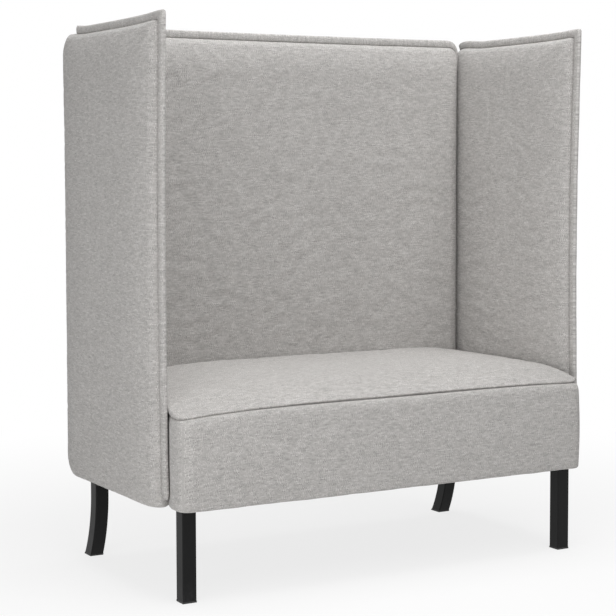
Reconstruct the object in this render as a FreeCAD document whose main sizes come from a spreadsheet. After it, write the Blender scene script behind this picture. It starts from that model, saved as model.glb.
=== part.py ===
"""High-back two-seat sofa: an upholstered seat box between two side panels and a back panel, on
four steel legs. Millimetres, +Z up, front towards -Y, origin on the floor under the sofa's middle.
Left is -X. Every panel has a wooden frame, two boards, two foam pads and two covers with a flange.
"""
import FreeCAD, Part
import math
import os

import Sketcher
from FreeCAD import Rotation, Vector

# Driving sizes, each with its meaning
SIZES = [
    ("overall_depth", 624, "seat front to the heels of the rear feet"),
    ("overall_height", 1300, "floor to the top of the panel flanges"),
    ("seat_width", 1067, "seat between the two side panels"),
    ("seat_bottom", 213, "floor to the underside of the seat and the panels"),
    ("seam_height", 424, "floor to the seam round the top edge of the seat"),
    ("crown_height", 469, "floor to the top of the seat crown"),
    ("seat_overhang", 64, "seat front ahead of the side panels"),
    ("heel_overhang", 11, "heels of the rear feet behind the side panels"),
    ("back_setback", 53, "middle of the back panel ahead of the side panels' rear edge"),
    ("seat_gap", 0.5, "clearance between the seat and the faces of the panels"),
    ("fabric", 1.5, "thickness of the cover fabric"),
    ("seat_corner", 26, "radius of the upright front edges of the seat"),
    ("seat_rear_corner", 14, "radius of the upright rear edges of the seat"),
    ("seat_lower_roll", 6, "rounding along the lower edge of the seat"),
    ("seat_upper_roll", 11, "rounding of the boxing up to the seam"),
    ("crown_front_roll", 200, "depth over which the crown rises at the front"),
    ("crown_side_roll", 180, "width over which the crown rises at a side"),
    ("crown_rear_roll", 120, "depth over which the crown rises at the rear"),
    ("crown_corner", 300, "growth of the crown's front corners towards its top"),
    ("crown_start_corner", 14, "radius of the crown's front corners at the seam"),
    ("crown_rear_corner", 80, "radius of the crown's rear corners at its top"),
    ("crown_tuck", 2, "how deep the crown starts below the seam"),
    ("front_padding", 17, "foam in front of the front rail"),
    ("hem", 40, "boxing folded under the seat"),
    ("dust_cover", 1, "thickness of the dust cover"),
    ("rail_thickness", 24, "thickness of the seat rails"),
    ("rail_height", 105, "height of the seat rails"),
    ("centre_rail_height", 70, "height of the centre rail"),
    ("block_size", 100, "plan size of a front corner block, which takes two leg screws"),
    ("rear_block_size", 65, "plan size of a rear corner block"),
    ("block_height", 60, "height of a corner block"),
    ("spring_wire", 4, "diameter of the zigzag spring wire"),
    ("spring_width", 50, "width of a zigzag spring over its turns' wire axis"),
    ("spring_turn", 11, "radius of a spring's turns"),
    ("spring_margin", 66, "outermost spring from the inside of the side rail"),
    ("spring_lift", 6, "wire axis above the rails, also the clip height"),
    ("clip_size", 16, "plan size of a spring clip"),
    ("insulator", 4, "thickness of the felt insulator"),
    ("panel_half", 33.5, "half thickness of a panel at its fullest"),
    ("flange_width", 20, "flange outside the sewn edge"),
    ("flange_thickness", 13, "flange over its filling and both covers"),
    ("flange_nose", 5, "rounding along the free edge of a flange"),
    ("flange_tail", 25, "rear end of the side flange ahead of the rear edge"),
    ("drawn_front", 12, "how far the front edge of a side panel is drawn in"),
    ("drawn_top", 4, "how far the top and rear edges are drawn in"),
    ("drawn_back", 2, "how far the edges of the back panel are drawn in"),
    ("pad_roll", 140, "width over which a pad rises from its sewn edge"),
    ("pad_foot_roll", 24, "height over which a pad rises from its lower edge"),
    ("pad_corner", 10, "radius of a panel's sewn corners"),
    ("rear_top_corner", 35, "radius of a side panel's upper rear corner"),
    ("rear_foot_corner", 42, "radius of a side panel's lower rear corner"),
    ("back_side_flange", 9, "back flange from its sewn edge to the seat faces"),
    ("back_corner", 34.5, "radius of the back flange's upper corners"),
    ("back_flange_reach", 4.5, "back flange beyond the seat faces, up to the side pads"),
    ("frame_inset", 14, "foam round the edge of a panel frame"),
    ("frame_ease", 5, "frame corner radius beyond the cover's"),
    ("frame_thickness", 28, "thickness of a panel frame"),
    ("member_width", 60, "width of stiles and rails in the panel frames"),
    ("mid_rail_height", 720, "floor to the middle of the middle rails"),
    ("board_thickness", 3, "thickness of the fibreboards"),
    ("bolt_rise", 32, "panel bolts above the underside of the panels"),
    ("bolt_block_gap", 14, "washers of the rearmost side bolts to the corner blocks"),
    ("back_bolt_pitch", 240, "distance between bolts along the back"),
    ("bolt_diameter", 8, "shank of the panel bolts"),
    ("bolt_clearance", 1, "hole diameter beyond the bolt's"),
    ("bolt_head", 14, "head of the panel bolts across corners"),
    ("bolt_head_height", 5.5, "height of a bolt head"),
    ("washer_diameter", 24, "outside of the washers"),
    ("washer_thickness", 2, "thickness of the washers"),
    ("spacer_diameter", 20, "outside of the spacer tubes in the foam"),
    ("spacer_gap", 0.5, "spacer tubes short of the cover before it is clamped"),
    ("tee_nut_flange", 22, "flange of the tee nuts"),
    ("tee_nut_flange_height", 1.5, "thickness of the tee nut flange"),
    ("tee_nut_barrel", 11, "barrel of the tee nuts"),
    ("tee_nut_length", 12, "length of the tee nut barrel"),
    ("pin_diameter", 8, "steel pins between the back and the side panels"),
    ("pin_low", 520, "floor to the lower pins"),
    ("pin_high", 1150, "floor to the upper pins"),
    ("pin_in_back", 30, "depth of a pin in the back stile"),
    ("pin_in_side", 15, "depth of a pin in the side stile"),
    ("leg_tube", 34, "outside of the square leg tube"),
    ("leg_wall", 2, "wall of the leg tube"),
    ("leg_edge", 2.5, "rounding along the edges of the leg tube"),
    ("leg_inset", -3, "outer face of the legs inside the seat's side, below zero outside it"),
    ("leg_setback", 57, "front face of the front legs behind the seat front"),
    ("leg_bend_radius", 330, "bend of the rear legs on the tube's axis"),
    ("leg_bend_height", 160, "floor to the start of the bend"),
    ("plate_size", 84, "leg mounting plate"),
    ("plate_thickness", 4, "thickness of the mounting plate"),
    ("glide_height", 4, "glide cap below the tube"),
    ("glide_plug", 12, "glide cap inside the tube"),
    ("glide_clearance", 0.1, "glide plug to the tube wall"),
    ("screw_margin", 15, "screw holes from the edges of the plate"),
    ("screw_diameter", 5, "shank of the leg screws"),
    ("screw_head", 10, "countersunk head of the leg screws"),
    ("screw_length", 45, "length of the leg screws"),
]
SPRING_COUNT = 8
PAD_STEPS = 6
PUFF = 0.7  # fullness of pads and crown: 1 is an ellipse, less is fuller
CORNER_EASE = 0.6  # growth of a pad's corner radius for each unit of its inset

# Stations that follow from the driving sizes
STATIONS = [
    ("y_front", "-dims.overall_depth / 2"),
    ("y_flange", "y_front + dims.seat_overhang"),
    ("y_rear", "dims.overall_depth / 2 - dims.heel_overhang"),
    ("y_back", "y_rear - dims.back_setback"),
    ("y_seat", "y_back - dims.panel_half - dims.seat_gap"),
    ("x_seat", "dims.seat_width / 2"),
    ("x_face", "x_seat + dims.seat_gap"),
    ("x_panel", "x_face + dims.panel_half"),
    ("z_pad", "dims.overall_height - dims.flange_width"),
    ("z_frame", "dims.seat_bottom + dims.fabric"),
    ("z_rail", "z_frame + dims.rail_height"),
    ("z_spring", "z_rail + dims.spring_lift"),
    ("z_insulator", "z_spring + dims.spring_wire / 2"),
    ("z_foam", "z_insulator + dims.insulator"),
    ("x_rail", "x_seat - dims.fabric"),
    ("x_rail_inside", "x_rail - dims.rail_thickness"),
    ("y_rail_front", "y_front + dims.fabric + dims.front_padding"),
    ("y_rail_rear", "y_seat - dims.fabric"),
    ("y_inside_front", "y_rail_front + dims.rail_thickness"),
    ("y_inside_rear", "y_rail_rear - dims.rail_thickness"),
    ("core_half", "dims.frame_thickness / 2"),
    ("board_face", "core_half + dims.board_thickness"),
    ("y_frame_front", "y_flange + dims.flange_width + dims.frame_inset"),
    ("y_frame_rear", "y_rear - dims.frame_inset"),
    ("z_frame_top", "z_pad - dims.frame_inset"),
    ("x_back_pad", "x_face - dims.back_side_flange"),
    ("x_back_frame", "x_back_pad - dims.frame_inset"),
    ("z_bolt", "dims.seat_bottom + dims.bolt_rise"),
    ("y_block_front", "y_inside_front + dims.block_size"),
    ("y_block_rear", "y_inside_rear - dims.rear_block_size"),
    ("y_first_bolt", "y_flange + dims.flange_width + dims.pad_roll"),
    ("y_last_bolt", "y_block_rear - dims.washer_diameter / 2 - dims.bolt_block_gap"),
    ("side_bolt_pitch", "(y_last_bolt - y_first_bolt) / 2"),
    ("bolt_rail", "dims.panel_half + dims.seat_gap + dims.fabric"),
    ("bolt_start", "bolt_rail + dims.rail_thickness + dims.washer_thickness"),
    ("x_leg", "x_seat - dims.leg_inset - dims.leg_tube / 2"),
    ("y_front_leg", "y_front + dims.leg_setback + dims.leg_tube / 2"),
    ("leg_sweep", "dims.leg_bend_radius - sqrt((dims.leg_bend_radius - dims.leg_tube / 2)^2"
                  " - dims.leg_bend_height^2)"),
    ("y_rear_leg", "dims.overall_depth / 2 - leg_sweep"),
    ("z_plate", "dims.seat_bottom - dims.plate_thickness"),
    ("plate_reach", "dims.plate_size - dims.leg_tube / 2"),
]

doc = FreeCAD.newDocument("high_back_sofa")
dims = doc.addObject("Spreadsheet::Sheet", "dims")
for row, (alias, number, meaning) in enumerate(SIZES, 1):
    dims.set(f"A{row}", meaning)
    dims.set(f"B{row}", str(number))
    dims.setAlias(f"B{row}", alias)
layout = doc.addObject("Spreadsheet::Sheet", "layout")
for row, (alias, formula) in enumerate(STATIONS, 1):
    layout.setAlias(f"B{row}", alias)
for row, (alias, formula) in enumerate(STATIONS, 1):
    layout.set(f"A{row}", alias)
    layout.set(f"B{row}", "=" + formula)
doc.recompute()

nodes = []


def size(alias):
    """The value of a driving size."""
    return float(dims.get(alias))


def at(alias):
    """The value of a station."""
    return float(layout.get(alias))


def node(thing, label):
    """Names a finished sub-part, which gets a file of its own."""
    thing.Label = label
    nodes.append(thing)
    return thing


def bind(thing, **sizes):
    """Binds properties to expressions; at_x, at_y and at_z are the placement."""
    for name, formula in sizes.items():
        if name.startswith("at_"):
            name = "Placement.Base." + name[-1]
        thing.setExpression(name, formula)
    return thing


def box(name, x_low, x_high, y_low, y_high, z_low, z_high):
    """A box between six planes, each given as an expression."""
    return bind(
        doc.addObject("Part::Box", name),
        Length=f"({x_high}) - ({x_low})", Width=f"({y_high}) - ({y_low})",
        Height=f"({z_high}) - ({z_low})", at_x=x_low, at_y=y_low, at_z=z_low)


def side_box(name, side, x_near, x_far, *rest):
    """A box on the right (side 1) or its mirror image on the left (side -1)."""
    if side > 0:
        return box(name, x_near, x_far, *rest)
    return box(name, f"-({x_far})", f"-({x_near})", *rest)


def cylinder(name, diameter, height, z_low):
    """A cylinder along +Z from z_low."""
    return bind(doc.addObject("Part::Cylinder", name),
                Radius=f"({diameter}) / 2", Height=height, at_z=z_low)


def fused(name, *parts):
    whole = doc.addObject("Part::MultiFuse", name)
    whole.Shapes = list(parts)
    return whole


def cut(name, base, tool):
    rest = doc.addObject("Part::Cut", name)
    rest.Base = base
    rest.Tool = tool
    return rest


def common(name, first, second):
    shared = doc.addObject("Part::Common", name)
    shared.Base = first
    shared.Tool = second
    return shared


def group(name, parts):
    together = doc.addObject("Part::Compound", name)
    together.Links = parts
    return together


def copies(name, master, spots):
    """A group of links to one master, each turned to an axis and placed by expressions."""
    links = []
    for axis, x, y, z in spots:
        link = doc.addObject("App::Link", master.Name + "_copy")
        link.LinkedObject = master
        link.LinkTransform = True
        link.LinkPlacement = FreeCAD.Placement(Vector(), Rotation(Vector(0, 0, 1), Vector(*axis)))
        for letter, formula in zip("xyz", (x, y, z)):
            link.setExpression(f"LinkPlacement.Base.{letter}", formula)
        links.append(link)
    return group(name, links)


def shaped(name, shape):
    """A free form that neither sketches nor primitives give."""
    free = doc.addObject("Part::Feature", name)
    free.Shape = shape
    return free


# Bolted joints between the seat box and the panels. Each bolt runs outwards from the inside of a
# seat rail, through the covers and a spacer tube in the foam, to a tee nut in the panel frame.
bolt_spots = []
for side in (-1, 1):
    for step in (0, 1, 2):
        bolt_spots.append(((side, 0, 0), f"{side} * layout.x_panel",
                           f"layout.y_first_bolt + {step} * layout.side_bolt_pitch", "layout.z_bolt"))
for step in (-1.5, -0.5, 0.5, 1.5):
    bolt_spots.append(((0, 1, 0), f"{step} * dims.back_bolt_pitch", "layout.y_back", "layout.z_bolt"))

bolt_head = bind(doc.addObject("Part::Prism", "bolt_head"), Circumradius="dims.bolt_head / 2",
                 Height="dims.bolt_head_height", at_z="-layout.bolt_start - dims.bolt_head_height")
bolt_shank = cylinder("bolt_shank", "dims.bolt_diameter", "layout.bolt_start + layout.core_half",
                      "-layout.bolt_start")
bolt = fused("bolt", bolt_head, bolt_shank)
node(copies("bolts", bolt, bolt_spots), "panel_bolts")

bolt_bore = cylinder("bolt_bore", "dims.bolt_diameter", "2 * layout.bolt_start", "-layout.bolt_start")
bolt_hole = cylinder("bolt_hole", "dims.bolt_diameter + dims.bolt_clearance",
                     "2 * layout.bolt_start", "-layout.bolt_start")
bolt_holes = copies("bolt_holes", bolt_hole, bolt_spots)

washer_disc = cylinder("washer_disc", "dims.washer_diameter", "dims.washer_thickness",
                       "-layout.bolt_start")
washer = cut("washer", washer_disc, bolt_bore)
node(copies("washers", washer, bolt_spots), "bolt_washers")

spacer_rod = cylinder("spacer_rod", "dims.spacer_diameter",
                      "dims.panel_half - dims.fabric - dims.spacer_gap - layout.board_face",
                      "-dims.panel_half + dims.fabric + dims.spacer_gap")
spacer = cut("spacer", spacer_rod, bolt_bore)
node(copies("spacers", spacer, bolt_spots), "bolt_spacers")
spacer_hole = cylinder("spacer_hole", "dims.spacer_diameter", "dims.panel_half", "-dims.panel_half")
spacer_holes = copies("spacer_holes", spacer_hole, bolt_spots)

nut_flange = cylinder("nut_flange", "dims.tee_nut_flange", "dims.tee_nut_flange_height",
                      "layout.core_half")
nut_barrel = cylinder("nut_barrel", "dims.tee_nut_barrel", "dims.tee_nut_length",
                      "layout.core_half - dims.tee_nut_length")
nut_blank = fused("nut_blank", nut_flange, nut_barrel)
tee_nut = cut("tee_nut", nut_blank, bolt_bore)
node(copies("tee_nuts", tee_nut, bolt_spots), "tee_nuts")
nut_recess = cylinder("nut_recess", "dims.tee_nut_flange + dims.bolt_clearance",
                      "dims.panel_half", "layout.core_half")
nut_seat = fused("nut_seat", bolt_hole, nut_barrel)
nut_seats = copies("nut_seats", nut_seat, bolt_spots)
nut_recesses = copies("nut_recesses", nut_recess, bolt_spots)

# Steel pins that hold the back panel and the side panels together, two at each corner
pin_spots = []
for side in (-1, 1):
    for height in ("dims.pin_low", "dims.pin_high"):
        pin_spots.append(((side, 0, 0), f"{side} * (layout.x_back_frame - dims.pin_in_back)",
                          "layout.y_back", height))
pin = cylinder("pin", "dims.pin_diameter",
               "layout.x_panel - layout.core_half + dims.pin_in_side"
               " - layout.x_back_frame + dims.pin_in_back", "0")
pins = node(copies("pins", pin, pin_spots), "corner_pins")

# Leg screws: three through each mounting plate, up into the seat frame and the back panel
screw_spots = []
for side in (-1, 1):
    near = f"{side} * (layout.x_leg + dims.leg_tube / 2 - dims.screw_margin)"
    far = f"{side} * (layout.x_leg - layout.plate_reach + dims.screw_margin)"
    for leg_y, way in (("layout.y_front_leg", 1), ("layout.y_rear_leg", -1)):
        beside = f"{leg_y} - {way} * (dims.leg_tube / 2 - dims.screw_margin)"
        beyond = f"{leg_y} + {way} * (layout.plate_reach - dims.screw_margin)"
        for x, y in ((far, beside), (far, beyond), (near, beyond)):
            screw_spots.append(((0, 0, 1), x, y, "layout.z_plate"))
screw_head = bind(doc.addObject("Part::Cone", "screw_head"), Radius1="dims.screw_head / 2",
                  Radius2="dims.screw_diameter / 2",
                  Height="(dims.screw_head - dims.screw_diameter) / 2")
screw_shank = cylinder("screw_shank", "dims.screw_diameter", "dims.screw_length", "0")
screw = fused("screw", screw_head, screw_shank)
screws = node(copies("screws", screw, screw_spots), "leg_screws")
doc.recompute()


# Sketches for the legs and glides
def sketch_on(body, name, role, offset=None):
    """A sketch on one of the body's own base planes."""
    plane = [feature for feature in body.Origin.OriginFeatures if feature.Role == role][0]
    sketch = body.newObject("Sketcher::SketchObject", name)
    sketch.AttachmentSupport = [(plane, "")]
    sketch.MapMode = "FlatFace"
    if offset:
        sketch.setExpression("AttachmentOffset.Base.z", offset)
    return sketch


def measure(sketch, kind, first, second, formula):
    """A distance or radius bound to an expression."""
    number = float(sketch.evalExpression(formula))
    ends = first + second
    sketch.setExpression(
        f"Constraints[{sketch.addConstraint(Sketcher.Constraint(kind, *ends, number))}]", formula)


def rectangle(sketch, x_low, x_high, y_low, y_high):
    """A rectangle between four lines, none of them through the origin."""
    x0, x1, y0, y1 = [float(sketch.evalExpression(side)) for side in (x_low, x_high, y_low, y_high)]
    corners = [Vector(x0, y0), Vector(x1, y0), Vector(x1, y1), Vector(x0, y1)]
    start = sketch.GeometryCount
    for step in range(4):
        sketch.addGeometry(Part.LineSegment(corners[step], corners[(step + 1) % 4]), False)
    for step in range(4):
        sketch.addConstraint(Sketcher.Constraint("Coincident", start + step, 2, start + (step + 1) % 4, 1))
        run = "Vertical" if step % 2 else "Horizontal"
        sketch.addConstraint(Sketcher.Constraint(run, start + step))
    measure(sketch, "DistanceX", (-1, 1), (start, 1), x_low)
    measure(sketch, "DistanceX", (-1, 1), (start + 2, 1), x_high)
    measure(sketch, "DistanceY", (-1, 1), (start, 1), y_low)
    measure(sketch, "DistanceY", (-1, 1), (start + 2, 1), y_high)


def bent_outline(sketch, half, z_low, z_high):
    """The side view of the bent rear leg between two heights, half a tube to each side of its
    axis. Above the start of the bend it is straight."""
    bend = size("leg_bend_radius")
    bend_z = size("leg_bend_height")
    low = float(sketch.evalExpression(z_low))
    high = float(sketch.evalExpression(z_high))
    straight = high > bend_z
    middle = Vector(bend, bend_z)
    width = float(sketch.evalExpression(half))
    arcs = []
    for radius in (bend + width, bend - width):
        top = math.pi + math.asin(max(bend_z - high, 0) / radius)
        foot = math.pi + math.asin((bend_z - low) / radius)
        arc = Part.ArcOfCircle(Part.Circle(middle, Vector(0, 0, 1), radius), top, foot)
        arcs.append(sketch.addGeometry(arc, False))
    front, rear = arcs
    ends = [(front, 1), (rear, 1)]
    if straight:
        ends = []
        for arc in arcs:
            start = sketch.getPoint(arc, 1)
            line = sketch.addGeometry(Part.LineSegment(start, Vector(start.x, high)), False)
            sketch.addConstraint(Sketcher.Constraint("Coincident", arc, 1, line, 1))
            sketch.addConstraint(Sketcher.Constraint("Vertical", line))
            sketch.addConstraint(Sketcher.Constraint("Horizontal", arc, 1, arc, 3))
            ends.append((line, 2))
    for (one, one_end), (two, two_end), level in (
            (ends[0], ends[1], z_high), ((front, 2), (rear, 2), z_low)):
        line = sketch.addGeometry(
            Part.LineSegment(sketch.getPoint(one, one_end), sketch.getPoint(two, two_end)), False)
        sketch.addConstraint(Sketcher.Constraint("Coincident", one, one_end, line, 1))
        sketch.addConstraint(Sketcher.Constraint("Coincident", two, two_end, line, 2))
        sketch.addConstraint(Sketcher.Constraint("Horizontal", line))
        if level == "0":
            sketch.addConstraint(Sketcher.Constraint("PointOnObject", line, 1, -1))
        else:
            measure(sketch, "DistanceY", (-1, 1), (line, 1), level)
    sketch.addConstraint(Sketcher.Constraint("Coincident", front, 3, rear, 3))
    measure(sketch, "DistanceX", (-1, 1), (front, 3), "dims.leg_bend_radius")
    measure(sketch, "DistanceY", (-1, 1), (front, 3), "dims.leg_bend_height")
    measure(sketch, "Radius", (front,), (), f"dims.leg_bend_radius + {half}")
    measure(sketch, "Radius", (rear,), (), f"dims.leg_bend_radius - {half}")


def pad(body, sketch, length, midplane=False):
    feature = body.newObject("PartDesign::Pad", sketch.Name + "_pad")
    feature.Profile = sketch
    feature.Midplane = midplane
    feature.setExpression("Length", length)
    return feature


def soften(body, feature, axis):
    """Rounds the long edges of a tube: those that do not run along the given axis."""
    doc.recompute()
    edges = []
    for number, edge in enumerate(feature.Shape.Edges, 1):
        first, last = edge.Vertexes[0].Point, edge.Vertexes[-1].Point
        across = abs(getattr(first - last, axis)) > 1
        on_side = abs(abs(first.x) - size("leg_tube") / 2) < 0.01
        if on_side and not across and edge.Length > 1.5 * size("leg_tube"):
            edges.append(f"Edge{number}")
    rounding = body.newObject("PartDesign::Fillet", "tube_edges")
    rounding.Base = (feature, edges)
    rounding.setExpression("Radius", "dims.leg_edge")
    return rounding


TUBE = "dims.leg_tube / 2"
BORE = "(dims.leg_tube / 2 - dims.leg_wall)"
PLUG = "(dims.leg_tube / 2 - dims.leg_wall - dims.glide_clearance)"


def leg(name, side, way):
    """One leg: tube and mounting plate, welded. way is 1 for a front leg, whose plate reaches
    back, and -1 for a bent rear leg, whose plate reaches forward."""
    body = doc.addObject("PartDesign::Body", name + "_weldment")
    if way > 0:
        section = sketch_on(body, name + "_section", "XY_Plane", "dims.glide_height")
        rectangle(section, f"-{TUBE}", TUBE, f"-{TUBE}", TUBE)
        tube = pad(body, section, "layout.z_plate - dims.glide_height")
        soften(body, tube, "x")
        bore = sketch_on(body, name + "_bore", "XY_Plane", "dims.glide_height")
        rectangle(bore, f"-{BORE}", BORE, f"-{BORE}", BORE)
        hollow = body.newObject("PartDesign::Pocket", name + "_hollow")
        hollow.Profile = bore
        hollow.Reversed = True
        hollow.setExpression("Length", "layout.z_plate - dims.glide_height")
    else:
        section = sketch_on(body, name + "_section", "YZ_Plane")
        bent_outline(section, TUBE, "dims.glide_height", "layout.z_plate")
        tube = pad(body, section, "dims.leg_tube", True)
        soften(body, tube, "x")
        bore = sketch_on(body, name + "_bore", "YZ_Plane")
        bent_outline(bore, BORE, "dims.glide_height", "layout.z_plate")
        hollow = body.newObject("PartDesign::Pocket", name + "_hollow")
        hollow.Profile = bore
        hollow.Midplane = True
        hollow.setExpression("Length", f"2 * {BORE}")
    plate = sketch_on(body, name + "_plate", "XY_Plane", "layout.z_plate")
    reach = "layout.plate_reach"
    x_range = (f"-{reach}", TUBE) if side > 0 else (f"-{TUBE}", reach)
    y_range = (f"-{TUBE}", reach) if way > 0 else (f"-{reach}", TUBE)
    rectangle(plate, *x_range, *y_range)
    pad(body, plate, "dims.plate_thickness")
    doc.recompute()
    where = "layout.y_front_leg" if way > 0 else "layout.y_rear_leg"
    bind(body, at_x=f"{side} * layout.x_leg", at_y=where)
    return node(cut(name + "_drilled", body, screws), name)


for side, word in ((-1, "left"), (1, "right")):
    leg("front_leg_" + word, side, 1)
    leg("rear_leg_" + word, side, -1)

# Glide caps: a foot under the tube and a plug inside it
caps = {1: [], -1: []}
for side in (-1, 1):
    for way in (1, -1):
        body = doc.addObject("PartDesign::Body", f"glide_{'front' if way > 0 else 'rear'}")
        if way > 0:
            foot = sketch_on(body, body.Name + "_foot", "XY_Plane")
            rectangle(foot, f"-{TUBE}", TUBE, f"-{TUBE}", TUBE)
            pad(body, foot, "dims.glide_height")
            plug = sketch_on(body, body.Name + "_plug", "XY_Plane", "dims.glide_height")
            rectangle(plug, f"-{PLUG}", PLUG, f"-{PLUG}", PLUG)
            pad(body, plug, "dims.glide_plug")
        else:
            foot = sketch_on(body, body.Name + "_foot", "YZ_Plane")
            bent_outline(foot, TUBE, "0", "dims.glide_height")
            pad(body, foot, "dims.leg_tube", True)
            plug = sketch_on(body, body.Name + "_plug", "YZ_Plane")
            bent_outline(plug, PLUG, "dims.glide_height", "dims.glide_height + dims.glide_plug")
            pad(body, plug, f"2 * {PLUG}", True)
        where = "layout.y_front_leg" if way > 0 else "layout.y_rear_leg"
        caps[way].append(bind(body, at_x=f"{side} * layout.x_leg", at_y=where))
node(group("front_caps", caps[1]), "front_glides")
node(group("rear_caps", caps[-1]), "rear_glides")

# Seat frame: side rails run through, the others fit between them
RAIL_Z = ("layout.z_frame", "layout.z_rail")
holes = group("frame_holes", [bolt_holes, screws])
for side, word in ((-1, "left"), (1, "right")):
    rail = side_box(f"{word}_rail", side, "layout.x_rail_inside", "layout.x_rail",
                    "layout.y_rail_front", "layout.y_rail_rear", *RAIL_Z)
    node(cut(f"{word}_rail_drilled", rail, holes), f"seat_{word}_rail")
BETWEEN = ("-layout.x_rail_inside", "layout.x_rail_inside")
node(box("front_rail", *BETWEEN, "layout.y_rail_front", "layout.y_inside_front", *RAIL_Z),
     "seat_front_rail")
rail = box("rear_rail", *BETWEEN, "layout.y_inside_rear", "layout.y_rail_rear", *RAIL_Z)
node(cut("rear_rail_drilled", rail, holes), "seat_rear_rail")
node(box("centre_rail", "-dims.rail_thickness / 2", "dims.rail_thickness / 2",
         "layout.y_inside_front", "layout.y_inside_rear",
         "layout.z_frame", "layout.z_frame + dims.centre_rail_height"), "seat_centre_rail")
blocks = []
for side in (-1, 1):
    for width, y_low, y_high in (
            ("dims.block_size", "layout.y_inside_front", "layout.y_block_front"),
            ("dims.rear_block_size", "layout.y_block_rear", "layout.y_inside_rear")):
        blocks.append(side_box("block", side, f"layout.x_rail_inside - {width}",
                               "layout.x_rail_inside", y_low, y_high,
                               "layout.z_frame", "layout.z_frame + dims.block_height"))
node(cut("blocks_drilled", group("blocks", blocks), screws), "seat_corner_blocks")


# Zigzag springs from the front rail to the rear rail, on saddle clips, under a felt insulator
def spring(x):
    """One spring: straight ends and passes from side to side, joined by half turns."""
    turn = size("spring_turn")
    reach = size("spring_width") / 2 - turn
    front = at("y_inside_front")
    rear = at("y_inside_rear")
    passes = int((rear - front - 4 * turn) / (2 * turn))
    first = (front + rear) / 2 - (passes - 1) * turn
    slant = turn * math.sqrt(0.5)
    edges = []

    def spot(place):
        return Vector(*place, at("z_spring"))

    def run(start, end):
        edges.append(Part.LineSegment(spot(start), spot(end)).toShape())

    def bend(start, middle, end):
        edges.append(Part.Arc(spot(start), spot(middle), spot(end)).toShape())

    run((x, front - size("clip_size")), (x, first - turn))
    bend((x, first - turn), (x + turn - slant, first - turn + slant), (x + turn, first))
    begin = x + turn
    way = 1
    for step in range(passes):
        y = first + 2 * turn * step
        last = step == passes - 1
        stop = x - way * turn if last else x + way * reach
        run((begin, y), (stop, y))
        if last:
            bend((stop, y), (stop + way * slant, y + turn - slant), (x, y + turn))
            run((x, y + turn), (x, rear + size("clip_size")))
        else:
            bend((stop, y), (stop + way * turn, y + turn), (stop, y + 2 * turn))
            begin = stop
            way = -way
    wire = Part.Circle(spot((x, front - size("clip_size"))), Vector(0, 1, 0), size("spring_wire") / 2)
    return Part.Wire(edges).makePipeShell([Part.Wire(wire.toShape())], True, False)


spread = [2 * step / (SPRING_COUNT - 1) - 1 for step in range(SPRING_COUNT)]
spring_reach = at("x_rail_inside") - size("spring_margin")
springs = [spring(share * spring_reach) for share in spread]
node(shaped("springs", Part.makeCompound(springs)), "zigzag_springs")

clip_block = box("clip_block", "-dims.clip_size / 2", "dims.clip_size / 2", "0", "dims.clip_size",
                 "-dims.spring_lift", "0")
clip_groove = doc.addObject("Part::Cylinder", "clip_groove")
clip_groove.Placement = FreeCAD.Placement(Vector(), Rotation(Vector(0, 0, 1), Vector(0, 1, 0)))
bind(clip_groove, Radius="dims.spring_wire / 2", Height="dims.clip_size")
clip = cut("clip", clip_block, clip_groove)
clip_spots = []
for share in spread:
    x = f"{share} * (layout.x_rail_inside - dims.spring_margin)"
    clip_spots.append(((0, 0, 1), x, "layout.y_inside_front - dims.clip_size", "layout.z_spring"))
    clip_spots.append(((0, 0, 1), x, "layout.y_inside_rear", "layout.z_spring"))
node(copies("clips", clip, clip_spots), "spring_clips")
node(box("felt", "-layout.x_rail", "layout.x_rail", "layout.y_rail_front", "layout.y_rail_rear",
         "layout.z_insulator", "layout.z_foam"), "spring_insulator")
doc.recompute()


# Soft forms. An outline has four corner arcs and four sides, which may be drawn in.
def outline(low_u, high_u, low_v, high_v, radii, drawn, spot):
    """A closed wire. Corners and sides start at the lower left and run anticlockwise, the sides
    from the lower one."""
    limit = 0.45 * min(high_u - low_u, high_v - low_v)
    radii = [min(radius, limit) for radius in radii]
    corners = [(low_u, low_v, 1, 1), (high_u, low_v, -1, 1), (high_u, high_v, -1, -1),
               (low_u, high_v, 1, -1)]
    starts, middles, ends = [], [], []
    for step, (u, v, in_u, in_v) in enumerate(corners):
        radius = radii[step]
        on_v = (u, v + in_v * radius)
        on_u = (u + in_u * radius, v)
        short = radius * (1 - math.sqrt(0.5))
        starts.append(on_v if step % 2 == 0 else on_u)
        ends.append(on_u if step % 2 == 0 else on_v)
        middles.append((u + in_u * short, v + in_v * short))
    inward = [(0, 1), (-1, 0), (0, -1), (1, 0)]
    edges = []
    for step in range(4):
        edges.append(Part.Arc(spot(*starts[step]), spot(*middles[step]), spot(*ends[step])).toShape())
        here, there = ends[step], starts[(step + 1) % 4]
        if drawn[step] > 0.01:
            dip = ((here[0] + there[0]) / 2 + inward[step][0] * drawn[step],
                   (here[1] + there[1]) / 2 + inward[step][1] * drawn[step])
            edges.append(Part.Arc(spot(*here), spot(*dip), spot(*there)).toShape())
        else:
            edges.append(Part.LineSegment(spot(*here), spot(*there)).toShape())
    return Part.Wire(edges)


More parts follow.
